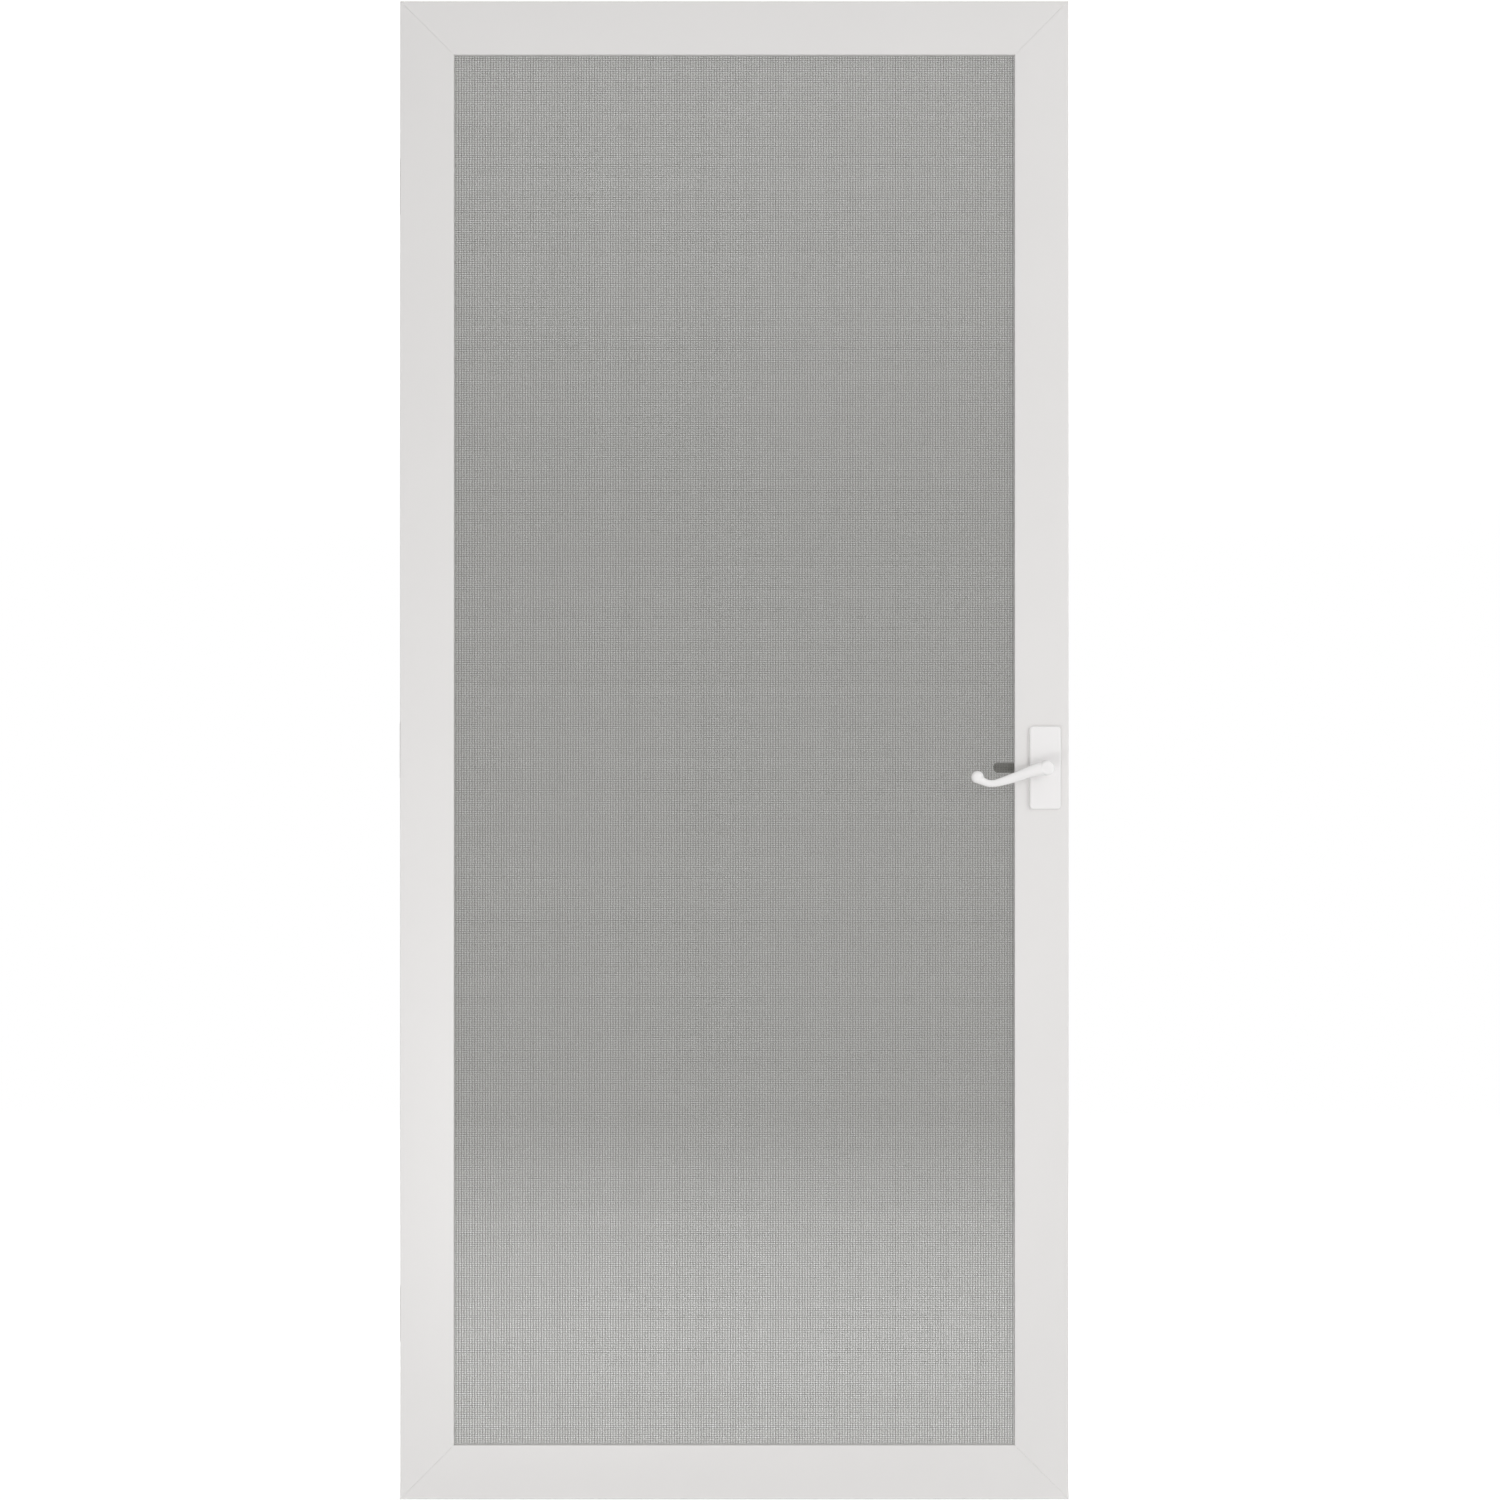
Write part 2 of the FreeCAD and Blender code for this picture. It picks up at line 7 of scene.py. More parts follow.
import bpy
from bpy.props import FloatProperty, FloatVectorProperty, IntProperty, PointerProperty
from bpy.types import Operator, Panel, PropertyGroup
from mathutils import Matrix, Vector


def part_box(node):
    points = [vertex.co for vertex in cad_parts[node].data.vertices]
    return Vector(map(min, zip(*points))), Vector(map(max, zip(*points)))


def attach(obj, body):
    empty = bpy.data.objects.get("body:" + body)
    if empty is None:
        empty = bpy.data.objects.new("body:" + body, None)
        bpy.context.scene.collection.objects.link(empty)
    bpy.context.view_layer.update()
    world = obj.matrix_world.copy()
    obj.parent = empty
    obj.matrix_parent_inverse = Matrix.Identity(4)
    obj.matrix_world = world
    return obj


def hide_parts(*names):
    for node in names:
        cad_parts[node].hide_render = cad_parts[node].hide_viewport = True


bl_info = {
    "name": "Storm Door",
    "version": (1, 0, 0),
    "blender": (4, 5, 0),
    "location": "3D View > Sidebar > Storm Door",
    "description": "Finishes a storm door with painted members, a woven screen and a lever handle",
    "category": "Object",
}

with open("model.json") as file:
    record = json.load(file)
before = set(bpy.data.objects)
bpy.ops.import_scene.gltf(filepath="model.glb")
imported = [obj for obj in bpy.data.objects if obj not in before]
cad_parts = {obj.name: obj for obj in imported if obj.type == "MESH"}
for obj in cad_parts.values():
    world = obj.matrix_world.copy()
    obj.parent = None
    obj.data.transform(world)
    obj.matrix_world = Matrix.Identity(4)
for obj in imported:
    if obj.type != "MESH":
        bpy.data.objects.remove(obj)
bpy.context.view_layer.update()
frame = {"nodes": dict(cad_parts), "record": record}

MEMBERS = ("hinge_stile", "latch_stile", "top_rail", "bottom_rail")
SPLINES = ("left_spline", "right_spline", "top_spline", "bottom_spline")
HINGES = ("top", "middle", "bottom")
X_AXIS = Vector((1, 0, 0))
Y_AXIS = Vector((0, 1, 0))
Z_AXIS = Vector((0, 0, 1))
MILLIMETRE = 0.001

# Points nearer than this are one point, and edges that turn by more than the angle stay crisp.
WELD_DISTANCE = 0.000002
CRISP_ANGLE = math.radians(35)

# Sections of the screw heads from the bottom to the top, with radii as shares of the head's radius.
# Heights are in metres from the plate's face on flat heads, and shares of the height on pan heads.
FLAT_HEAD = ((0.55, -0.0018), (0.62, -0.001), (1, -0.0001), (0.96, 0))
PAN_HEAD = ((1, 0), (1, 0.45), (0.93, 0.75), (0.8, 0.93), (0.66, 1))

leaf_low = Vector(map(min, *(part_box(name)[0] for name in MEMBERS)))
leaf_high = Vector(map(max, *(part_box(name)[1] for name in MEMBERS)))
leaf_middle = (leaf_low + leaf_high) / 2


def colour_property(name, description, default):
    return FloatVectorProperty(
        name=name, description=description, default=default, size=3, min=0, max=1, subtype="COLOR",
    )


def length_property(name, description, default):
    return FloatProperty(
        name=name, description=description, default=default, min=0,
        subtype="DISTANCE", unit="LENGTH", precision=5,
    )


def place_property(name, description, default):
    return FloatVectorProperty(
        name=name, description=description, default=default, size=3,
        subtype="TRANSLATION", unit="LENGTH",
    )


def angle_property(name, description, degrees):
    return FloatProperty(
        name=name, description=description, default=math.radians(degrees),
        subtype="ANGLE", unit="ROTATION",
    )


def share_property(name, description, default, most=1):
    return FloatProperty(
        name=name, description=description, default=default, min=0, max=most, subtype="FACTOR",
    )


def light_property(name, description, default, unit="NONE"):
    return FloatProperty(name=name, description=description, default=default, min=0, unit=unit)


def count_property(name, description, default, least):
    return IntProperty(name=name, description=description, default=default, min=least)


class DoorFinish(PropertyGroup):
    """Colours of the door's finishes."""
    frame_colour: colour_property("Frame", "Satin paint of the stiles and rails", (0.80, 0.785, 0.775))
    hinge_colour: colour_property("Hinges", "Satin paint of the hinge plates", (0.78, 0.765, 0.755))
    handle_colour: colour_property("Handle", "Gloss paint of the handle and case", (0.88, 0.866, 0.862))
    # Painted shade: the back lever is coloured as dark as it reads in the shade behind the screen.
    shaded_lever_colour: colour_property("Back Lever", "Dark paint of the back lever", (0.09, 0.09, 0.092))
    screen_colour: colour_property("Screen", "Coated strands of the screen", (0.224, 0.222, 0.204))
    vinyl_colour: colour_property("Spline", "Vinyl cord that holds the screen", (0.12, 0.12, 0.12))
    steel_colour: colour_property("Steel", "Plated steel of pins, screws and latch", (0.56, 0.55, 0.53))


class DoorScreen(PropertyGroup):
    """Sizes of the woven screen and the cord round its edge."""
    upright_pitch: length_property("Upright Pitch", "Distance between upright strands", 0.000903)
    level_pitch: length_property("Level Pitch", "Distance between level strands", 0.000997)
    upright_group: count_property("Upright Group", "Upright strands to a heavy one", 4, 1)
    level_group: count_property("Level Group", "Level strands to a heavy one", 3, 1)
    strand_width: length_property("Strand Width", "Width of a fine strand", 0.00044)
    heavy_width: length_property("Heavy Width", "Width of a heavy strand", 0.00083)
    wander: length_property("Wander", "How far a strand may lie from its place", 0.00003)
    spread: share_property("Spread", "How much the strands differ in width", 0.06, 0.5)
    seed: count_property("Seed", "Start of the draws for wander and spread", 18, 0)
    strand_sides: count_property("Strand Sides", "Sides of a strand's section", 6, 3)
    spline_ribs: count_property("Spline Ribs", "Ribs round the vinyl cord", 16, 3)
    rib_depth: length_property("Rib Depth", "Depth of the valleys between ribs", 0.00025)


class DoorScrews(PropertyGroup):
    """Sizes of the screws."""
    flat_head_radius: length_property("Flat Head", "Radius of the countersunk heads", 0.0034)
    flat_recess: length_property("Flat Recess", "Depth of the cross in the countersunk heads", 0.0009)
    plate_thickness: length_property("Plate Thickness", "Of the plates under the flat heads", 0.002)
    pan_head_radius: length_property("Pan Head", "Radius of the pan heads on the back case", 0.0036)
    pan_head_height: length_property("Pan Height", "Height of the pan heads", 0.0017)
    pan_recess: length_property("Pan Recess", "Depth of the cross in the pan heads", 0.00102)
    case_screw_offset: length_property("Case Offset", "Case screws above and below the spindle", 0.042)
    cross_reach: share_property("Cross Reach", "Arm of the cross to the radius of the head's top", 0.62)
    cross_width: share_property("Cross Width", "Width of its arms to the radius of the head's top", 0.3)
    cross_floor: share_property("Cross Floor", "Floor of the cross to its mouth", 0.7)


class DoorStage(PropertyGroup):
    """Camera, floor, backdrop and lamps, whose places are from the leaf's middle."""
    camera_distance: length_property("Camera Distance", "From the front of the leaf to the camera", 5.0)
    view_width: length_property("View Width", "Width in the picture at the front of the leaf", 2.0301)
    camera_offset: length_property("Camera Offset", "Camera to the right of the leaf's middle", 0.0212)
    floor_gap: length_property("Floor Gap", "From the floor to the foot of the leaf", 0.015)
    floor_width: length_property("Floor Width", "Width of the floor", 14.0)
    floor_front: length_property("Floor Front", "How far the floor runs in front of the leaf", 8.0)
    floor_back: length_property("Floor Back", "How far the floor runs behind the leaf", 6.0)
    floor_colour: colour_property("Floor", "Paper of the floor", (0.86, 0.86, 0.86))
    floor_roughness: share_property("Floor Roughness", "Roughness of the paper", 0.9)
    floor_light: light_property("Floor Light", "How bright the light makes the open floor", 0.6)
    shadow_share: share_property("Shadow Share", "Share of the floor's look made by light", 0.9, 0.95)
    shadow_near: length_property("Shadow Near", "From the leaf to where the shadow starts to fade", 0.03)
    shadow_far: length_property("Shadow Far", "From the leaf to where the shadow has faded", 0.2)
    floor_glow: light_property("Floor Glow", "Brightness added to the floor behind the leaf", 0.72)
    glow_near: length_property("Glow Near", "From the leaf to where the glow starts to fade", 1.2)
    glow_far: length_property("Glow Far", "From the leaf to where the glow is gone", 5.6)
    backdrop_lift: light_property("Backdrop Lift", "Brightness added to the backdrop high up", 0.29)
    lift_start: angle_property("Lift Start", "Angle above the horizon where the lift starts", 3)
    lift_end: angle_property("Lift End", "Angle above the horizon where the lift is whole", 11)
    world_strength: light_property("World Light", "Light from all round", 0.62)
    key_power: light_property("Key Power", "Lamp in front at the right", 48, "POWER")
    key_size: length_property("Key Size", "Side of the key lamp", 1.6)
    key_place: place_property("Key Place", "Place of the key lamp", (3.0, -4.0, 1.0))
    fill_power: light_property("Fill Power", "Low lamp in front", 12.7, "POWER")
    fill_size: length_property("Fill Size", "Side of the fill lamp", 0.8)
    fill_place: place_property("Fill Place", "Place of the fill lamp", (-0.4, -2.0, -0.9))
    back_power: light_property("Back Power", "Lamp behind the leaf", 45, "POWER")
    back_size: length_property("Back Size", "Side of the back lamp", 1.8)
    back_place: place_property("Back Place", "Place of the back lamp", (2.6, 4.4, 1.2))


def ring(count, centre, across, up):
    """Points evenly round an ellipse, whose half axes are two vectors."""
    turns = (2 * math.pi * number / count for number in range(count))
    return [centre + math.cos(turn) * across + math.sin(turn) * up for turn in turns]


def tube_faces(first, count, ring_total):
    """Faces of a closed tube whose rings of points follow one another from a first point."""
    faces = [[first + number for number in reversed(range(count))]]
    for level in range(ring_total - 1):
        start = first + level * count
        for number in range(count):
            here = start + number
            beside = start + (number + 1) % count
            faces.append([here, beside, beside + count, here + count])
    last = first + (ring_total - 1) * count
    faces.append([last + number for number in range(count)])
    return faces


def new_piece(name, points, faces, material, body):
    """A mesh with flat faces that rides on a body of the frame."""
    mesh = bpy.data.meshes.new(name)
    mesh.from_pydata([tuple(point) for point in points], [], faces)
    mesh.validate()
    mesh.materials.append(material)
    mesh.polygons.foreach_set("use_smooth", [False] * len(mesh.polygons))
    piece = bpy.data.objects.new(name, mesh)
    bpy.context.scene.collection.objects.link(piece)
    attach(piece, body)
    return piece


def new_group(name, inputs, outputs):
    """An empty node group; inputs are given as (name, kind, default) and outputs as (name, kind)."""
    group = bpy.data.node_groups.new(name, "ShaderNodeTree")
    for label, kind, default in inputs:
        socket = group.interface.new_socket(name=label, in_out="INPUT", socket_type=kind)
        socket.default_value = default
    for label, kind in outputs:
        group.interface.new_socket(name=label, in_out="OUTPUT", socket_type=kind)
    return group, group.nodes.new("NodeGroupInput"), group.nodes.new("NodeGroupOutput")


def noise_node(tree, detail, roughness):
    noise = tree.nodes.new("ShaderNodeTexNoise")
    noise.inputs["Detail"].default_value = detail
    noise.inputs["Roughness"].default_value = roughness
    return noise


def math_node(tree, operation, *values):
    """The result of a math node, whose inputs are sockets or plain numbers."""
    node = tree.nodes.new("ShaderNodeMath")
    node.operation = operation
    for socket, value in zip(node.inputs, values):
        if isinstance(value, bpy.types.NodeSocket):
            tree.links.new(value, socket)
        else:
            socket.default_value = value
    return node.outputs[0]


def tone_group():
    """Broad cloudy changes of colour and gloss over a surface."""
    group, given, made = new_group(
        "Tone Drift",
        [
            ("Colour", "NodeSocketColor", (0.8, 0.8, 0.8, 1)),
            ("Roughness", "NodeSocketFloat", 0.4),
            ("Scale", "NodeSocketFloat", 4.0),
            ("Tone Change", "NodeSocketFloat", 0.02),
            ("Gloss Change", "NodeSocketFloat", 0.08),
        ],
        [("Colour", "NodeSocketColor"), ("Roughness", "NodeSocketFloat")],
    )
    links = group.links
    place = group.nodes.new("ShaderNodeTexCoord")
    cloud = noise_node(group, detail=4, roughness=0.6)
    links.new(place.outputs["Object"], cloud.inputs["Vector"])
    links.new(given.outputs["Scale"], cloud.inputs["Scale"])
    swing = math_node(group, "MULTIPLY_ADD", cloud.outputs["Fac"], 2, -1)
    brightness = math_node(group, "MULTIPLY", swing, given.outputs["Tone Change"])
    tint = group.nodes.new("ShaderNodeHueSaturation")
    links.new(math_node(group, "ADD", brightness, 1), tint.inputs["Value"])
    links.new(given.outputs["Colour"], tint.inputs["Color"])
    links.new(tint.outputs["Color"], made.inputs["Colour"])
    gloss = math_node(group, "MULTIPLY", swing, given.outputs["Gloss Change"])
    links.new(math_node(group, "ADD", gloss, given.outputs["Roughness"]), made.inputs["Roughness"])
    return group


def grain_group():
    """Fine relief, drawn out along a direction where the stretch differs between axes."""
    group, given, made = new_group(
        "Fine Grain",
        [("Scale", "NodeSocketFloat", 900.0), ("Stretch", "NodeSocketVector", (1, 1, 1))],
        [("Height", "NodeSocketFloat")],
    )
    links = group.links
    place = group.nodes.new("ShaderNodeTexCoord")
    stretch = group.nodes.new("ShaderNodeVectorMath")
    stretch.operation = "MULTIPLY"
    links.new(place.outputs["Object"], stretch.inputs[0])
    links.new(given.outputs["Stretch"], stretch.inputs[1])
    grain = noise_node(group, detail=2, roughness=0.5)
    links.new(stretch.outputs["Vector"], grain.inputs["Vector"])
    links.new(given.outputs["Scale"], grain.inputs["Scale"])
    links.new(grain.outputs["Fac"], made.inputs["Height"])
    return group


def place_group(tree, name, build, values):
    """A node of a shared group, which is built when it is first needed, with values of its own."""
    node = tree.nodes.new("ShaderNodeGroup")
    node.node_tree = bpy.data.node_groups.get(name) or build()
    for socket, value in values.items():
        node.inputs[socket].default_value = value
    return node


def finish_material(name, colour, roughness, tone, grain, relief, shader_values):
    """A material of drifting tone over fine grain; tone and grain hold the groups' own values."""
    material = bpy.data.materials.new(name)
    material.use_nodes = True
    tree = material.node_tree
    shader = tree.nodes["Principled BSDF"]
    for socket, value in shader_values.items():
        shader.inputs[socket].default_value = value
    surface = {"Colour": (*colour, 1), "Roughness": roughness, **tone}
    drift = place_group(tree, "Tone Drift", tone_group, surface)
    tree.links.new(drift.outputs["Colour"], shader.inputs["Base Color"])
    tree.links.new(drift.outputs["Roughness"], shader.inputs["Roughness"])
    fine = place_group(tree, "Fine Grain", grain_group, grain)
    bump = tree.nodes.new("ShaderNodeBump")
    bump.inputs["Distance"].default_value = relief
    tree.links.new(fine.outputs["Height"], bump.inputs["Height"])
    tree.links.new(bump.outputs["Normal"], shader.inputs["Normal"])
    return material


def satin_paint(name, colour):
    """Baked-on satin paint with a faint orange peel."""
    return finish_material(
        name, colour, roughness=0.38,
        tone={"Scale": 3.0, "Tone Change": 0.02, "Gloss Change": 0.1},
        grain={"Scale": 700.0}, relief=0.00003,
        shader_values={"Specular IOR Level": 0.4},
    )


def gloss_paint(name, colour):
    """Smooth sprayed paint on cast metal."""
    return finish_material(
        name, colour, roughness=0.24,
        tone={"Scale": 14.0, "Tone Change": 0.015, "Gloss Change": 0.06},
        grain={"Scale": 900.0}, relief=0.00002,
        shader_values={"Coat Weight": 0.25, "Coat Roughness": 0.12},
    )


def coated_strand(colour):
    """Dull plastic skin on the screen's strands."""
    return finish_material(
        "coated_strand", colour, roughness=0.58,
        tone={"Scale": 9.0, "Tone Change": 0.06, "Gloss Change": 0.1},
        grain={"Scale": 2600.0}, relief=0.00002,
        shader_values={},
    )


def ribbed_vinyl(colour):
    """Soft matt vinyl."""
    return finish_material(
        "ribbed_vinyl", colour, roughness=0.62,
        tone={"Scale": 25.0, "Tone Change": 0.1, "Gloss Change": 0.1},
        grain={"Scale": 3000.0}, relief=0.00003,
        shader_values={},
    )


def plated_steel(colour):
    """Bright plated steel with upright drawing marks, made once."""
    return bpy.data.materials.get("plated_steel") or finish_material(
        "plated_steel", colour, roughness=0.32,
        tone={"Scale": 60.0, "Tone Change": 0.12, "Gloss Change": 0.14},
        grain={"Scale": 1800.0, "Stretch": (1, 1, 0.05)}, relief=0.00001,
        shader_values={"Metallic": 1.0},
    )


def dress(node, material):
    """Give a node of the frame its finish, with smooth curves and crisp corners."""
    piece = frame["nodes"][node]
    piece.data.materials.clear()
    piece.data.materials.append(material)
    piece.data.polygons.foreach_set("use_smooth", [True] * len(piece.data.polygons))
    weld = piece.modifiers.new("weld", "WELD")
    weld.merge_threshold = WELD_DISTANCE
    split = piece.modifiers.new("corners", "EDGE_SPLIT")
    split.split_angle = CRISP_ANGLE


class STORM_DOOR_OT_paint_frame(Operator):
    """Paint the two stiles and two rails"""
    bl_idname = "storm_door.paint_frame"
    bl_label = "Paint Frame"

    def execute(self, context):
        paint = satin_paint("frame_paint", context.scene.door_finish.frame_colour)
        for name in MEMBERS:
            dress(name, paint)
        return {"FINISHED"}


def strands(settings, rng, low, high, run, across, layer_y, pitch, group):
    """Points and faces of parallel strands that fill a box along one direction, in half its depth."""
    length = (high - low).dot(run)
    width = (high - low).dot(across)
    count = int(width / pitch)
    margin = (width - (count - 1) * pitch) / 2
    half_depth = (high - low).dot(Y_AXIS) / 4
    points = []
    faces = []
    for number in range(count):
        strand_width = settings.strand_width if number % group else settings.heavy_width
        half_width = strand_width / 2 * (1 + settings.spread * rng.uniform(-1, 1))
        place = margin + number * pitch + settings.wander * rng.uniform(-1, 1)
        start = Vector((low.x, layer_y, low.z)) + place * across
        faces += tube_faces(len(points), settings.strand_sides, 2)
        for end in (start, start + length * run):
            points += ring(settings.strand_sides, end, half_width * across, half_depth * Y_AXIS)
    return points, faces


class STORM_DOOR_OT_weave_screen(Operator):
    """Lay the upright and level strands of the screen"""
    bl_idname = "storm_door.weave_screen"
    bl_label = "Weave Screen"

    def execute(self, context):
        settings = context.scene.door_screen
        low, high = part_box("screen_mesh")
        rng = random.Random(settings.seed)
        material = coated_strand(context.scene.door_finish.screen_colour)
        quarter = (high.y - low.y) / 4
        for name, run, across, layer_y, pitch, group in (
            (
                "upright_strands", Z_AXIS, X_AXIS, low.y + quarter,
                settings.upright_pitch, settings.upright_group,
            ),
            (
                "level_strands", X_AXIS, Z_AXIS, high.y - quarter,
                settings.level_pitch, settings.level_group,
            ),
        ):
            points, faces = strands(settings, rng, low, high, run, across, layer_y, pitch, group)
            piece = new_piece(name, points, faces, material, "leaf")
            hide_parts("screen_mesh")
        return {"FINISHED"}


def ribbed_cord(name, node, settings, material):
    """A round cord with ribs along its length, in the place of a plain one."""
    low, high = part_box(node)
    size = high - low
    run, across = (Z_AXIS, X_AXIS) if size.z > size.x else (X_AXIS, Z_AXIS)
    length = size.dot(run)
    radius = size.y / 2
    start = (low + high) / 2 - run * length / 2
    sides = 2 * settings.spline_ribs
    outline = ring(sides, Vector(), radius * across, radius * Y_AXIS)
    valley = 1 - settings.rib_depth / radius
    points = []
    for end in (start, start + run * length):
        points += [end + point * (1 if number % 2 else valley) for number, point in enumerate(outline)]
    piece = new_piece(name, points, tube_faces(0, sides, 2), material, "leaf")
    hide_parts(node)


class STORM_DOOR_OT_press_splines(Operator):
    """Press the ribbed cord into the grooves round the screen"""
    bl_idname = "storm_door.press_splines"
    bl_label = "Press Splines"

    def execute(self, context):
        vinyl = ribbed_vinyl(context.scene.door_finish.vinyl_colour)
        for node in SPLINES:
            ribbed_cord(f"ribbed_{node}", node, context.scene.door_screen, vinyl)
        return {"FINISHED"}


def cross_outline(settings, radius):
    """Turns round a screw head of some radius, and how far the cross recess reaches at each."""
    arm = settings.cross_reach * radius
    half_width = settings.cross_width * radius / 2
    tip = math.atan2(half_width, arm)
    inner_corner = math.pi / 4
    along_arm = math.pi / 6
    outline = []
    for quarter in range(4):
        for angle in (-inner_corner, -along_arm, -tip, 0, tip, along_arm):
            reach = arm / math.cos(angle) if abs(angle) <= tip else half_width / abs(math.sin(angle))
            outline.append((angle + quarter * math.pi / 2, reach))
    return outline


def screw(points, faces, settings, centre, axis, profile, recess):
    """Add a screw head to lists of points and faces, from a profile of (radius, height)."""
    across = axis.orthogonal().normalized()
    up = axis.cross(across)
    top_radius, top = profile[-1]
    outline = cross_outline(settings, top_radius)
    levels = [([radius] * len(outline), height) for radius, height in profile]
    levels.append(([reach for _, reach in outline], top))
    levels.append(([reach * settings.cross_floor for _, reach in outline], top - recess))
    faces += tube_faces(len(points), len(outline), len(levels))
    for reaches, height in levels:
        for (turn, _), reach in zip(outline, reaches):
            outward = math.cos(turn) * across + math.sin(turn) * up
            points.append(centre + axis * height + reach * outward)


def flat_screws(name, body, settings, face_x, axis, material):
    """Countersunk screws in the holes of one body's hinge plates, flush with their inner faces."""
    radius = settings.flat_head_radius
    profile = [(share * radius, height) for share, height in FLAT_HEAD]
    points = []
    faces = []
    for mount in frame["record"]["mounts"]:
        if mount["kind"] != "bolt_pattern":
            continue
        row_step = mount["dims"]["spacing_x_mm"] * MILLIMETRE / 2
        column_step = mount["dims"]["spacing_y_mm"] * MILLIMETRE / 2
        _, middle_y, middle_z = mount["pos_m"]
        for row in (-row_step, row_step):
            for column in (-column_step, column_step):
                place = Vector((face_x, middle_y + row, middle_z + column))
                screw(points, faces, settings, place, axis, profile, settings.flat_recess)
    new_piece(name, points, faces, material, body)


def pan_screws(name, body, settings, material):
    """Pan-head screws above and below the spindle on the back case."""
    spindle = sum(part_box("spindle"), Vector()) / 2
    face_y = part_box("back_case")[1].y
    radius = settings.pan_head_radius
    height = settings.pan_head_height
    profile = [(share * radius, level * height) for share, level in PAN_HEAD]
    points = []
    faces = []
    for side in (-1, 1):
        place = Vector((spindle.x, face_y, spindle.z + side * settings.case_screw_offset))
        screw(points, faces, settings, place, Y_AXIS, profile, settings.pan_recess)
    new_piece(name, points, faces, material, body)


class STORM_DOOR_OT_hang_hinges(Operator):
    """Paint the hinge plates and set their pins and screws"""
    bl_idname = "storm_door.hang_hinges"
    bl_label = "Hang Hinges"

    def execute(self, context):
        finish = context.scene.door_finish
        paint = satin_paint("hinge_paint", finish.hinge_colour)
        steel = plated_steel(finish.steel_colour)
        for name in HINGES:
            dress(f"{name}_jamb_plate", paint)
            dress(f"{name}_leaf_plate", paint)
            dress(f"{name}_pin", steel)
        settings = context.scene.door_screws
        jamb_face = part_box("middle_jamb_plate")[0].x + settings.plate_thickness
        leaf_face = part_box("middle_leaf_plate")[1].x - settings.plate_thickness
        flat_screws("jamb_screws", "jamb", settings, jamb_face, X_AXIS, steel)
        flat_screws("leaf_screws", "leaf", settings, leaf_face, -X_AXIS, steel)
        return {"FINISHED"}


class STORM_DOOR_OT_fit_handle(Operator):
    """Finish the plates, levers and latch of the handle"""
    bl_idname = "storm_door.fit_handle"
    bl_label = "Fit Handle"

    def execute(self, context):
        finish = context.scene.door_finish
        white = gloss_paint("handle_paint", finish.handle_colour)
        for name in ("front_escutcheon", "front_lever", "back_case"):
            dress(name, white)
        # The back lever's dark colour is painted shade, as dark as the lever reads behind the screen.
        dress("back_lever", gloss_paint("dark_handle_paint", finish.shaded_lever_colour))
        steel = plated_steel(finish.steel_colour)
        for name in ("spindle", "latch_tongue"):
            dress(name, steel)
        pan_screws("case_screws", "leaf", context.scene.door_screws, steel)
        return {"FINISHED"}


def seen_directly(tree):
    """A socket that is 1 for rays that show the stage itself, straight, in gloss or through glass."""
    path = tree.nodes.new("ShaderNodeLightPath")
    shown = math_node(tree, "MAXIMUM", path.outputs["Is Camera Ray"], path.outputs["Is Glossy Ray"])
    return math_node(tree, "MAXIMUM", shown, path.outputs["Is Transmission Ray"])


def coordinate(tree, kind, axis):
    """A socket with one axis of a coordinate."""
    place = tree.nodes.new("ShaderNodeTexCoord")
    axes = tree.nodes.new("ShaderNodeSeparateXYZ")
    tree.links.new(place.outputs[kind], axes.inputs["Vector"])
    return axes.outputs[axis]


def ease(tree, value, start, end, first, last):
    """A socket that goes smoothly from a first to a last number as a value goes from start to end."""
    node = tree.nodes.new("ShaderNodeMapRange")
    node.interpolation_type = "SMOOTHSTEP"
    tree.links.new(value, node.inputs["Value"])
    node.inputs["From Min"].default_value = start
    node.inputs["From Max"].default_value = end
    node.inputs["To Min"].default_value = first
    node.inputs["To Max"].default_value = last
    return node.outputs["Result"]


def show_mix(tree, share, lit, shown, output):
    """Send two shaders to an output, with some share of the second."""
    mix = tree.nodes.new("ShaderNodeMixShader")
    tree.links.new(share, mix.inputs["Fac"])
    tree.links.new(lit, mix.inputs[1])
    tree.links.new(shown, mix.inputs[2])
    tree.links.new(mix.outputs["Shader"], tree.nodes[output].inputs["Surface"])


def floor_paper(settings):
    """White paper that keeps the door's shadow near the leaf and glows a little behind it."""
    material = bpy.data.materials.new("pale_floor")
    material.use_nodes = True
    tree = material.node_tree
    paper = tree.nodes["Principled BSDF"]
    paper.inputs["Base Color"].default_value = (*settings.floor_colour, 1)
    paper.inputs["Roughness"].default_value = settings.floor_roughness
    behind = coordinate(tree, "Object", "Y")
    distance = math_node(tree, "ABSOLUTE", behind)
    shadow = ease(tree, distance, settings.shadow_near, settings.shadow_far, settings.shadow_share, 0)
    kept = math_node(tree, "SUBTRACT", 1, shadow)
    made_up = math_node(tree, "SUBTRACT", 1, math_node(tree, "MULTIPLY", shadow, settings.floor_light))
    glow = math_node(
        tree, "MULTIPLY",
        ease(tree, behind, settings.shadow_near, settings.shadow_far, 0, settings.floor_glow),
        ease(tree, behind, settings.glow_near, settings.glow_far, 1, 0),
    )
    white = tree.nodes.new("ShaderNodeEmission")
    strength = math_node(tree, "ADD", math_node(tree, "DIVIDE", made_up, kept), glow)
    tree.links.new(strength, white.inputs["Strength"])
    share = math_node(tree, "MULTIPLY", seen_directly(tree), kept)
    show_mix(tree, share, paper.outputs["BSDF"], white.outputs["Emission"], "Material Output")
    return material


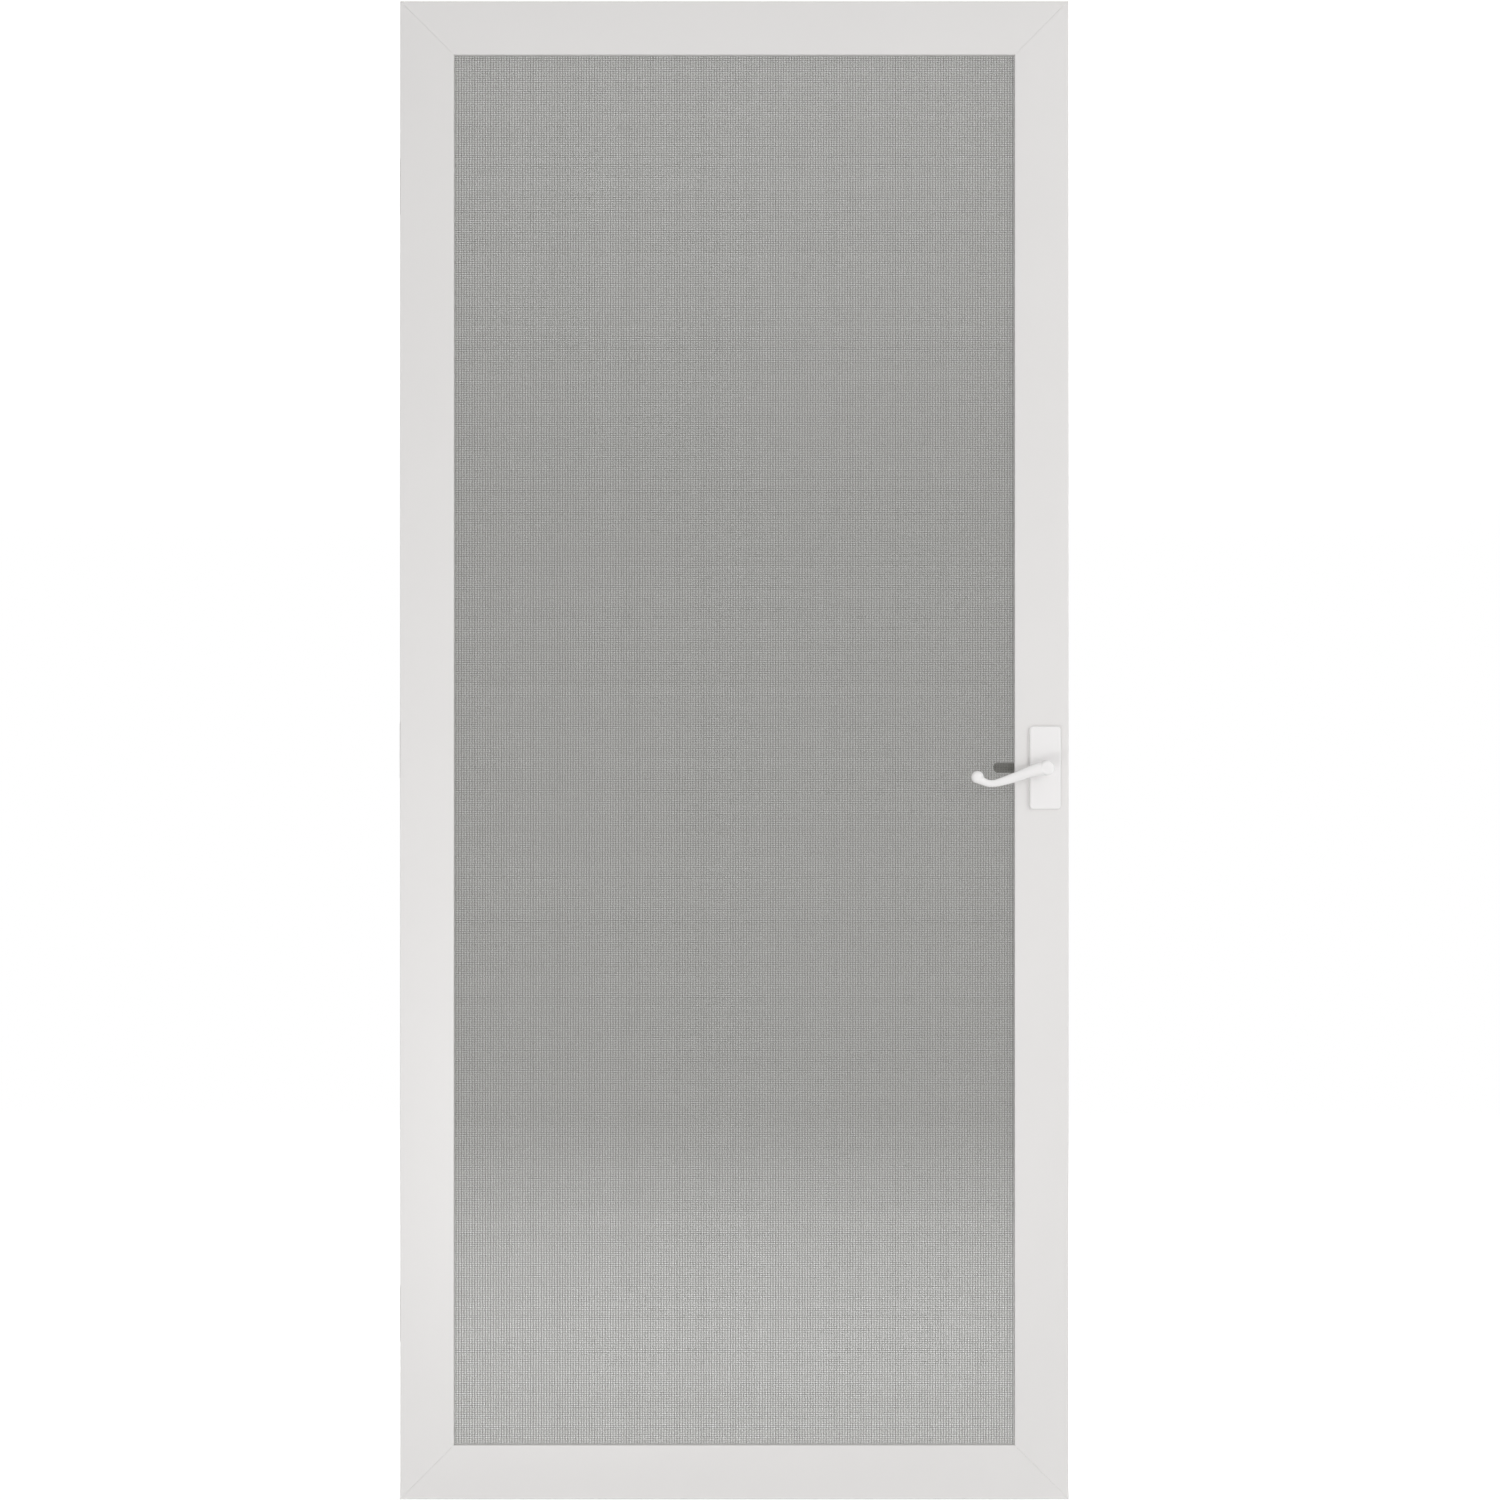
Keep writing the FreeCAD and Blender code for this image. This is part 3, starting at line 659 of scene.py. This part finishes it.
def lay_floor(settings):
    """A pale floor just under the leaf."""
    half = settings.floor_width / 2
    level = leaf_low.z - settings.floor_gap
    corners = [
        (leaf_middle.x - half, -settings.floor_front, level),
        (leaf_middle.x + half, -settings.floor_front, level),
        (leaf_middle.x + half, settings.floor_back, level),
        (leaf_middle.x - half, settings.floor_back, level),
    ]
    mesh = bpy.data.meshes.new("floor")
    mesh.from_pydata(corners, [], [[0, 1, 2, 3]])
    mesh.materials.append(floor_paper(settings))
    floor = bpy.data.objects.new("floor", mesh)
    bpy.context.scene.collection.objects.link(floor)


def fill_world(scene, settings):
    """Even light from all round, with a white backdrop where it is seen."""
    world = bpy.data.worlds.new("studio")
    world.use_nodes = True
    tree = world.node_tree
    light = tree.nodes["Background"]
    light.inputs["Color"].default_value = (1, 1, 1, 1)
    light.inputs["Strength"].default_value = settings.world_strength
    white = tree.nodes.new("ShaderNodeBackground")
    white.inputs["Color"].default_value = (1, 1, 1, 1)
    height = coordinate(tree, "Generated", "Z")
    low = math.sin(settings.lift_start)
    high = math.sin(settings.lift_end)
    lift = ease(tree, height, low, high, 1, 1 + settings.backdrop_lift)
    tree.links.new(lift, white.inputs["Strength"])
    show_mix(tree, seen_directly(tree), light.outputs[0], white.outputs[0], "World Output")
    scene.world = world


def hang_lamp(name, power, size, place):
    """A square lamp that faces the leaf's middle, out of the camera's sight."""
    data = bpy.data.lights.new(name, "AREA")
    data.energy = power
    data.shape = "SQUARE"
    data.size = size
    lamp = bpy.data.objects.new(name, data)
    lamp.location = leaf_middle + Vector(place)
    lamp.rotation_euler = Vector(place).to_track_quat("Z", "Y").to_euler()
    lamp.visible_camera = False
    bpy.context.scene.collection.objects.link(lamp)


def aim_camera(scene, settings):
    """A level camera straight in front of the leaf, a little to the right of its middle."""
    data = bpy.data.cameras.new("camera")
    data.lens = data.sensor_width * settings.camera_distance / settings.view_width
    camera = bpy.data.objects.new("camera", data)
    camera.location = leaf_middle + settings.camera_offset * X_AXIS
    camera.location.y = leaf_low.y - settings.camera_distance
    camera.rotation_euler = (math.pi / 2, 0, 0)
    scene.collection.objects.link(camera)
    scene.camera = camera


class STORM_DOOR_OT_set_stage(Operator):
    """Lay the floor, light the door and aim the camera"""
    bl_idname = "storm_door.set_stage"
    bl_label = "Set Stage"

    def execute(self, context):
        scene = context.scene
        settings = scene.door_stage
        lay_floor(settings)
        fill_world(scene, settings)
        hang_lamp("key", settings.key_power, settings.key_size, settings.key_place)
        hang_lamp("fill", settings.fill_power, settings.fill_size, settings.fill_place)
        hang_lamp("back", settings.back_power, settings.back_size, settings.back_place)
        aim_camera(scene, settings)
        scene.view_settings.view_transform = "Standard"
        return {"FINISHED"}


class STORM_DOOR_PT_sidebar(Panel):
    """The door's steps, colours and sizes"""
    bl_idname = "STORM_DOOR_PT_sidebar"
    bl_label = "Storm Door"
    bl_space_type = "VIEW_3D"
    bl_region_type = "UI"
    bl_category = "Storm Door"

    def draw(self, context):
        for step in STEPS:
            self.layout.operator(step.bl_idname)
        for name in SETTINGS:
            group = getattr(context.scene, name)
            column = self.layout.box().column()
            for key in group.bl_rna.properties.keys():
                if key not in ("name", "rna_type"):
                    column.prop(group, key)


STEPS = (
    STORM_DOOR_OT_paint_frame,
    STORM_DOOR_OT_weave_screen,
    STORM_DOOR_OT_press_splines,
    STORM_DOOR_OT_hang_hinges,
    STORM_DOOR_OT_fit_handle,
    STORM_DOOR_OT_set_stage,
)
SETTINGS = {
    "door_finish": DoorFinish,
    "door_screen": DoorScreen,
    "door_screws": DoorScrews,
    "door_stage": DoorStage,
}


def register():
    for item in (*SETTINGS.values(), *STEPS, STORM_DOOR_PT_sidebar):
        bpy.utils.register_class(item)
    for name, group in SETTINGS.items():
        setattr(bpy.types.Scene, name, PointerProperty(type=group))


def unregister():
    for name in SETTINGS:
        delattr(bpy.types.Scene, name)
    for item in (STORM_DOOR_PT_sidebar, *reversed(STEPS), *SETTINGS.values()):
        bpy.utils.unregister_class(item)


def main():
    register()
    bpy.ops.storm_door.paint_frame()
    bpy.ops.storm_door.weave_screen()
    bpy.ops.storm_door.press_splines()
    bpy.ops.storm_door.hang_hinges()
    bpy.ops.storm_door.fit_handle()
    bpy.ops.storm_door.set_stage()


if __name__ == "__main__":
    main()
